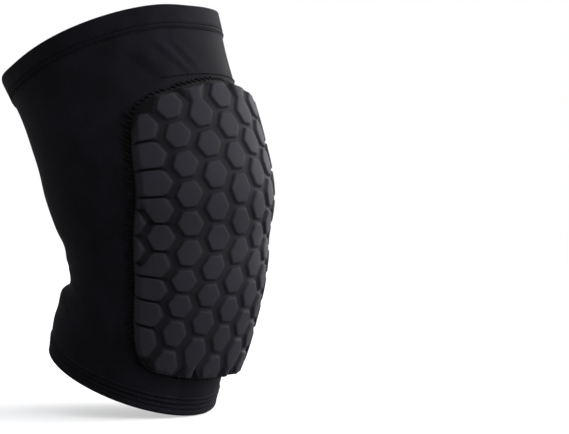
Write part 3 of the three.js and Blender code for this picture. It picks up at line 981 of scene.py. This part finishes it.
thigh_stitches = hem_rows("thigh_hem_stitches", THIGH_CHANNELS, below_thigh_rim)
calf_stitches = hem_rows("calf_hem_stitches", CALF_CHANNELS[:2], above_calf_rim)

# %% [markdown]
# The pad is sewn on with an overlock machine: strands of bulked thread lie side by side across the seam, from
# under the pad's edge out on to the knit, so that the seam can stretch with it. At the top they lap over the
# edge. A curve with a bevel could be one strand, but the stitch function above makes them all at once. Each
# strand is a flat bundle, and no two are of one length.

# %% Seam round the pad
SEAM_PITCH = 3
SEAM_STRAND = 2.2  # width of a strand, in mm
SEAM_FLATNESS = 0.5  # its height as a share of that
SEAM_BOW = 0.2
SEAM_IN = -0.3
SEAM_OUT = 1.5  # how far a strand reaches on to the knit at the top and bottom
SEAM_OUT_MORE = 3.8  # how much farther it does at the sides
SEAM_SIDES = (45, 62)  # across the pad, where that begins and where it is full
SEAM_SHARES = (0.4, 1.6)  # least and most share of that for one strand
SEAM_UNEVEN = 0.7  # how far off its place a strand's outer end may be
SEAM_IN_LIFT = 0.55
SEAM_OUT_LIFT = 0.2
SEAM_LAP = 1.5  # how far over the pad's upper edge a strand reaches
SEAM_LAP_LIFT = 3.3  # how much higher it starts there


def border_points(spacing):
    """Evenly spaced points round the flat pad's outline."""
    closed = np.vstack([outline, outline[:1]])
    length = np.concatenate([[0], np.cumsum(np.linalg.norm(np.diff(closed, axis=0), axis=1))])
    count = int(length[-1] / spacing)
    at = np.linspace(0, length[-1], count, endpoint=False)
    return np.column_stack([np.interp(at, length, closed[:, i]) for i in range(2)])


border = border_points(SEAM_PITCH)
straight_out = border / np.linalg.norm(border, axis=1)[:, None]
uneven_share = seeded.uniform(*SEAM_SHARES, len(border))
reach = SEAM_OUT + SEAM_OUT_MORE * uneven_share * ease(np.abs(border[:, 0]), *SEAM_SIDES)
border = border + straight_out * top_margin(border)[:, None]
lap = ease(border[:, 1], *TOP_EDGE)
inner = border + straight_out * (SEAM_IN - SEAM_LAP * lap)[:, None]
outer = border + straight_out * reach[:, None]
outer += seeded.uniform(-SEAM_UNEVEN, SEAM_UNEVEN, outer.shape)
pad_seam = sew(
    "pad_seam_stitches",
    on_pad(inner[:, 0], inner[:, 1], SEAM_IN_LIFT + SEAM_LAP_LIFT * lap),
    on_pad(outer[:, 0], outer[:, 1], np.full(len(outer), SEAM_OUT_LIFT)),
    outward(*pad_place(inner[:, 0], inner[:, 1])),
    SEAM_STRAND,
    SEAM_BOW,
    SEAM_FLATNESS,
)

# %% [markdown]
# Above the pad one more row of stitches holds the pad's upper edge down to the knit. It is a plain row
# like those of the hems, so the same function sews it, along a line that rises a little to one side.

# %% Row of stitches above the pad
TOP_ROW_ALONG = 211  # distance up the leg, in mm
TOP_ROW_RISE = 2.6  # how much higher it lies for each radian round the leg
TOP_ROW_HALF = math.radians(34)
TOP_ROW_THREAD = 0.6
TOP_ROW_LIFT = 0.15
TOP_ROW_BOW = 0.3
top_step = STITCH_PITCH / mean_radius(TOP_ROW_ALONG)
top_turn = np.arange(-TOP_ROW_HALF, TOP_ROW_HALF, top_step)
top_along = TOP_ROW_ALONG + TOP_ROW_RISE * top_turn
top_lift = np.full(len(top_turn), TOP_ROW_LIFT)
top_row = sew(
    "pad_top_stitches",
    on_cloth(top_along, top_turn, top_lift),
    on_cloth(top_along, top_turn + top_step * STITCH_SHARE, top_lift),
    outward(top_along, top_turn),
    TOP_ROW_THREAD,
    TOP_ROW_BOW,
)

# %% [markdown]
# Cloth has no hard edges, so every piece is shaded smooth. A finer mesh would look smooth too, but would only
# be heavier.

# %% Smooth shading
knit_pieces = [sleeve, thigh_hem, calf_hem]
thread_pieces = [thigh_stitches, calf_stitches, pad_seam, top_row]
for piece in [*knit_pieces, pad, *thread_pieces]:
    select_only(piece)
    bpy.ops.object.shade_smooth()
print("smoothed", len(knit_pieces) + 1 + len(thread_pieces), "pieces")

# %% [markdown]
# Materials are networks of nodes. Three helpers are enough for all of them: one turns the colours that a
# picture program shows into the linear light that Blender computes with, one adds a node, and one starts
# a material. Nodes could be set up by hand in the shader editor, but code can be read and run again.

# %% Helpers for materials


def linear(hex_colour):
    """An sRGB colour such as "2b2b31" as linear red, green, blue and alpha."""
    shown = [int(hex_colour[i:i + 2], 16) / 255 for i in (0, 2, 4)]
    light = [value / 12.92 if value <= 0.04045 else ((value + 0.055) / 1.055) ** 2.4 for value in shown]
    return (*light, 1)


def add_node(tree, kind, settings=None, **links):
    """Add a node, set its options and plain inputs, and link the named inputs to other nodes' outputs."""
    node = tree.nodes.new(kind)
    for name, value in (settings or {}).items():
        if isinstance(name, int) or name in node.inputs:
            node.inputs[name].default_value = value
        else:
            setattr(node, name, value)
    for name, source in links.items():
        key = int(name[1:]) if name[1:].isdigit() else name.replace("_", " ")
        tree.links.new(source, node.inputs[key])
    return node


def new_material(name):
    """An empty material, its node tree and its output node."""
    material = bpy.data.materials.new(name)
    material.use_nodes = True
    material.node_tree.nodes.clear()
    return material, material.node_tree, material.node_tree.nodes.new("ShaderNodeOutputMaterial")


print("mid grey as linear light:", round(linear("808080")[0], 3))

# %% [markdown]
# The tube and hems are a circular knit of nylon and elastane, dyed black. Up close it is columns of V-shaped
# loops, called wales, which take light softly and give a grey sheen where the cloth turns away. A brushed
# surface would need hair, but this yarn is smooth, so a bump pattern of loops and a little sheen are enough.

# %% Stretch knit of nylon and elastane
WALE = 0.7  # width of a column of loops, in mm, on the cloth before it is stretched
COURSE = 0.55  # height of a loop
LOOP_DEPTH = 0.35  # how deep a loop is beside its column
BLOTCH = 18.2  # width of the faint blotches that dye and wear leave, in mm


def knit_loops(tree, wale, course):
    """The height of the V-shaped loops, laid out on the cloth's own map."""
    cloth = add_node(tree, "ShaderNodeUVMap", {"uv_map": "knit"})
    place = add_node(tree, "ShaderNodeSeparateXYZ", None, Vector=cloth.outputs[0])
    column = add_node(tree, "ShaderNodeMath", {"operation": "DIVIDE", 1: wale}, _0=place.outputs["X"])
    row = add_node(tree, "ShaderNodeMath", {"operation": "DIVIDE", 1: course}, _0=place.outputs["Y"])
    slant = add_node(tree, "ShaderNodeMath", {"operation": "PINGPONG", 1: 0.5}, _0=column.outputs[0])
    phase = add_node(tree, "ShaderNodeMath", {"operation": "ADD"}, _0=row.outputs[0], _1=slant.outputs[0])
    turns = add_node(tree, "ShaderNodeMath", {"operation": "MULTIPLY", 1: 2 * math.pi}, _0=phase.outputs[0])
    loop = add_node(tree, "ShaderNodeMath", {"operation": "SINE"}, _0=turns.outputs[0])
    rib = add_node(tree, "ShaderNodeMath", {"operation": "MULTIPLY", 1: 2.0}, _0=slant.outputs[0])
    return add_node(
        tree,
        "ShaderNodeMath",
        {"operation": "MULTIPLY_ADD", 1: LOOP_DEPTH},
        _0=loop.outputs[0],
        _2=rib.outputs[0],
    )


def stretch_knit():
    """Dull black cloth with fine columns, and a faint grey sheen where it turns away."""
    material, tree, output = new_material("black nylon and elastane stretch knit")
    loops = knit_loops(tree, WALE, COURSE)
    bump = add_node(tree, "ShaderNodeBump", {"Strength": 0.4, "Distance": 0.1 * MM}, Height=loops.outputs[0])
    room = add_node(tree, "ShaderNodeTexCoord")
    wear = add_node(
        tree,
        "ShaderNodeTexNoise",
        {"Scale": 1 / (BLOTCH * MM), "Detail": 4.0},
        Vector=room.outputs["Object"],
    )
    tone = add_node(tree, "ShaderNodeValToRGB", None, Fac=wear.outputs["Fac"])
    tone.color_ramp.elements[0].position = 0.35
    tone.color_ramp.elements[0].color = linear("0c0c0f")
    tone.color_ramp.elements[1].position = 0.7
    tone.color_ramp.elements[1].color = linear("121116")
    gloss = add_node(
        tree, "ShaderNodeMapRange", {"To Min": 0.62, "To Max": 0.8}, Value=wear.outputs["Fac"]
    )
    shader = add_node(
        tree,
        "ShaderNodeBsdfPrincipled",
        {
            "IOR": 1.53,
            "Specular IOR Level": 0.02,
            "Sheen Weight": 0.025,
            "Sheen Roughness": 0.38,
            "Sheen Tint": linear("c9c9d6"),
        },
        Base_Color=tone.outputs["Color"],
        Roughness=gloss.outputs["Result"],
        Normal=bump.outputs["Normal"],
    )
    tree.links.new(shader.outputs[0], output.inputs["Surface"])
    return material


knit_material = stretch_knit()
for piece in knit_pieces:
    piece.data.materials.append(knit_material)
print("made", knit_material.name)

# %% [markdown]
# The pad is closed-cell foam with a thin knit bonded to it before moulding. The hot mould presses the knit
# flat, so it is greyer and smoother than the tube. Shade is painted into its colour: darker in the grooves
# and slits, nearly black at the edge.

# %% Knit bonded to moulded foam
PAD_WALE = 0.6  # the cover is knitted finer than the tube
PAD_COURSE = 0.48
PAD_BLOTCH = 14.3  # width of the faint blotches that moulding leaves, in mm
PAD_MOTTLE = 0.22  # how far they shift the tone


def bonded_foam():
    """Charcoal cloth, flatter and greyer than the tube's, with painted shade, darker in the grooves and
    nearly black at the edge.
    """
    material, tree, output = new_material("charcoal knit bonded to moulded foam")
    loops = knit_loops(tree, PAD_WALE, PAD_COURSE)
    bump = add_node(tree, "ShaderNodeBump", {"Strength": 0.35, "Distance": 0.1 * MM}, Height=loops.outputs[0])
    # The attribute holds painted shade for the grooves, slits and edge.
    painted_shade = add_node(tree, "ShaderNodeAttribute", {"attribute_name": "painted_shade"})
    room = add_node(tree, "ShaderNodeTexCoord")
    wear = add_node(
        tree,
        "ShaderNodeTexNoise",
        {"Scale": 1 / (PAD_BLOTCH * MM), "Detail": 5.0},
        Vector=room.outputs["Object"],
    )
    mottle_and_shade = add_node(
        tree,
        "ShaderNodeMath",
        {"operation": "MULTIPLY_ADD", 1: PAD_MOTTLE},
        _0=wear.outputs["Fac"],
        _2=painted_shade.outputs["Fac"],
    )
    # The blotches add random tone, and the ramp paints shade: the cover's own charcoal on the tops, darker in
    # the grooves, nearly black at the edge.
    tone = add_node(tree, "ShaderNodeValToRGB", None, Fac=mottle_and_shade.outputs[0])
    tone.color_ramp.elements[0].position = 0.05
    tone.color_ramp.elements[0].color = linear("1e1d22")
    tone.color_ramp.elements[1].position = 0.8
    tone.color_ramp.elements[1].color = linear("131316")
    tone.color_ramp.elements.new(1.0).color = linear("050506")
    shader = add_node(
        tree,
        "ShaderNodeBsdfPrincipled",
        {
            "IOR": 1.5,
            "Roughness": 0.62,
            "Specular IOR Level": 0.04,
            "Sheen Weight": 0.03,
            "Sheen Roughness": 0.4,
            "Sheen Tint": linear("d0d0dc"),
        },
        Base_Color=tone.outputs["Color"],
        Normal=bump.outputs["Normal"],
    )
    tree.links.new(shader.outputs[0], output.inputs["Surface"])
    return material


pad_material = bonded_foam()
pad.data.materials.append(pad_material)
print("made", pad_material.name)

# %% [markdown]
# The seams are sewn with bulked polyester thread, which is blacker and a little shinier than the knit. Its
# plies are twisted, and the twist shows as slanted lines. They could be modelled, but at this size a wave
# pattern with a bump does as well.

# %% Polyester thread
TWIST = 5  # one turn of the plies, in mm, drawn several times too coarse, so that it shows
WAVES = 20 / (2 * math.pi)  # waves that the wave texture draws in one unit of its coordinates


def polyester_thread():
    """Nearly black thread with faint slanted lines."""
    material, tree, output = new_material("black bulked polyester thread")
    room = add_node(tree, "ShaderNodeTexCoord")
    slanted = add_node(
        tree,
        "ShaderNodeMapping",
        {"Rotation": (0.6, 0.5, 0.7), "Scale": (1 / (TWIST * MM * WAVES),) * 3},
        Vector=room.outputs["Object"],
    )
    plies = add_node(tree, "ShaderNodeTexWave", {"Scale": 1.0, "Distortion": 1.5}, Vector=slanted.outputs[0])
    tone = add_node(tree, "ShaderNodeValToRGB", None, Fac=plies.outputs["Fac"])
    tone.color_ramp.elements[0].color = linear("040405")
    tone.color_ramp.elements[1].color = linear("09090a")
    bump = add_node(
        tree, "ShaderNodeBump", {"Strength": 0.4, "Distance": 0.06 * MM}, Height=plies.outputs["Fac"]
    )
    shader = add_node(
        tree,
        "ShaderNodeBsdfPrincipled",
        {"IOR": 1.54, "Roughness": 0.55, "Specular IOR Level": 0.03, "Sheen Weight": 0.01},
        Base_Color=tone.outputs["Color"],
        Normal=bump.outputs["Normal"],
    )
    tree.links.new(shader.outputs[0], output.inputs["Surface"])
    return material


thread_material = polyester_thread()
for piece in thread_pieces:
    piece.data.materials.append(thread_material)
print("made", thread_material.name)

# %% [markdown]
# Each finished piece takes over from its measured node, which is hidden, and keeps to the one body that the
# sleeve is. The stitches are attached to that body too.

# %% Put each piece in place of its measured node
STANDS_FOR = (
    (sleeve, "sleeve_tube", "knit"),
    (thigh_hem, "thigh_hem", "hem"),
    (calf_hem, "calf_hem", "hem"),
    (pad, "knee_pad", "pad"),
)
for piece, node, slot in STANDS_FOR:
    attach(piece, "root")
    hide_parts(node)
for piece in thread_pieces:
    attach(piece, "root")
print("pieces:", len(STANDS_FOR) + len(thread_pieces))

# %% [markdown]
# A plain pale floor lies under the lowest rim, and the background is as pale, as in a studio. White paper
# would throw so much light up that black cloth turns grey, and a studio sets the paper far behind the object
# for that reason. Here the paper looks white to the camera and lights the cloth like grey paper. The paper
# also glows, though no lamp is under it: painted light, which keeps the shadow pale.

# %% Floor
FLOOR_SIZE = 12000
FLOOR_GAP = 0.4  # how far under the lowest rim it lies, in mm
PAPER_PAINTED_GLOW = 0.45  # share of the paper's brightness that is painted glow, with no lamp under it


def seen_and_felt(tree, seen, felt):
    """One shader for what the camera sees, and another for the light that reaches the object."""
    ray = add_node(tree, "ShaderNodeLightPath")
    return add_node(
        tree,
        "ShaderNodeMixShader",
        None,
        Fac=ray.outputs["Is Camera Ray"],
        _1=felt.outputs[0],
        _2=seen.outputs[0],
    )


bpy.ops.object.select_all(action="DESELECT")
bpy.ops.mesh.primitive_plane_add(size=FLOOR_SIZE * MM, location=(0, 0, cad_box[0][2] - FLOOR_GAP * MM))
floor = bpy.context.object
floor.name = "studio_floor"
paper, paper_tree, paper_output = new_material("matt white studio paper")
paper_lit = add_node(paper_tree, "ShaderNodeBsdfDiffuse", {"Color": linear("f2f2f2")})
# Painted glow: the paper gives light of its own, seen by the camera only, which pales the cast shadow.
paper_painted_glow = add_node(paper_tree, "ShaderNodeEmission", {"Color": linear("ffffff"), "Strength": 1.0})
paper_seen = add_node(
    paper_tree,
    "ShaderNodeMixShader",
    {"Fac": PAPER_PAINTED_GLOW},
    _1=paper_lit.outputs[0],
    _2=paper_painted_glow.outputs[0],
)
paper_felt = add_node(paper_tree, "ShaderNodeBsdfDiffuse", {"Color": linear("909090")})
paper_shader = seen_and_felt(paper_tree, paper_seen, paper_felt)
paper_tree.links.new(paper_shader.outputs[0], paper_output.inputs["Surface"])
floor.data.materials.append(paper)
print("floor at", round(floor.location.z / MM, 1), "mm")

# %% [markdown]
# Black cloth shows its shape only by soft light from one side. One very broad key light stands at the right,
# a little below the knee, a weak light hangs over it, and the rest of the room adds little. Area lamps would
# do as well, but a sun lamp needs no distance. What the camera sees behind the object is white, and a dimmer
# room lights the cloth, or black would turn grey.

# %% Studio light
bpy.context.scene.view_settings.view_transform = "Standard"
world = bpy.data.worlds.new("studio")
bpy.context.scene.world = world
world.use_nodes = True
room_tree = world.node_tree
room_tree.nodes.clear()
room_seen = add_node(room_tree, "ShaderNodeBackground", {"Color": linear("ffffff"), "Strength": 1.0})
room_felt = add_node(room_tree, "ShaderNodeBackground", {"Color": linear("eef0f4"), "Strength": 0.7})
room_shader = seen_and_felt(room_tree, room_seen, room_felt)
add_node(room_tree, "ShaderNodeOutputWorld", None, Surface=room_shader.outputs[0])


def sun(name, towards, strength, softness):
    """A broad light that comes from a direction, as wide as `softness` degrees of the sky."""
    data = bpy.data.lights.new(name, "SUN")
    data.energy = strength
    data.angle = math.radians(softness)
    light = bpy.data.objects.new(name, data)
    light.rotation_euler = towards.to_track_quat("Z", "Y").to_euler()
    bpy.context.scene.collection.objects.link(light)
    print("light:", name, "strength", strength)


# %% [markdown]
# The camera stands where it shows the sleeve from its left front, almost level with the knee, at the
# distance of a product photograph. The lights keep their places beside it, so they are set up by its own
# right, back and up, which are worked out first.

# %% Camera and lights
VIEW_AZIMUTH = math.radians(-48)
VIEW_ELEVATION = math.radians(-1.3)
VIEW_DISTANCE = 950  # mm from the knee
PIXEL = 0.62  # mm at the knee
IMAGE = (569, 434)
KNEE_PIXEL = (153.5, 210)
SENSOR = 36  # width of the camera's sensor, in mm
# Columns: name, how far right, towards the camera and up it comes from, strength, softness in degrees.
LIGHTS = (
    ("top", 0, 0.1, 1, 0.4, 100),
    ("key", 0.95, 0.05, -0.35, 18, 150),
)

level = math.cos(VIEW_ELEVATION)
backward = Vector((math.sin(VIEW_AZIMUTH) * level, -math.cos(VIEW_AZIMUTH) * level, math.sin(VIEW_ELEVATION)))
rightward = Vector((math.cos(VIEW_AZIMUTH), math.sin(VIEW_AZIMUTH), 0))
upward = backward.cross(rightward)
aim = rightward * (IMAGE[0] / 2 - KNEE_PIXEL[0]) * PIXEL - upward * (IMAGE[1] / 2 - KNEE_PIXEL[1]) * PIXEL
eye = backward * VIEW_DISTANCE
lens = bpy.data.cameras.new("studio_camera")
lens.sensor_width = SENSOR
lens.lens = SENSOR * VIEW_DISTANCE / PIXEL / IMAGE[0]
camera = bpy.data.objects.new("studio_camera", lens)
camera.location = eye * MM
camera.rotation_euler = (aim - eye).to_track_quat("-Z", "Y").to_euler()
bpy.context.scene.collection.objects.link(camera)
bpy.context.scene.camera = camera
for name, right, back, up, strength, softness in LIGHTS:
    sun(name, rightward * right + backward * back + upward * up, strength, softness)
print("lens, mm:", round(lens.lens, 1))
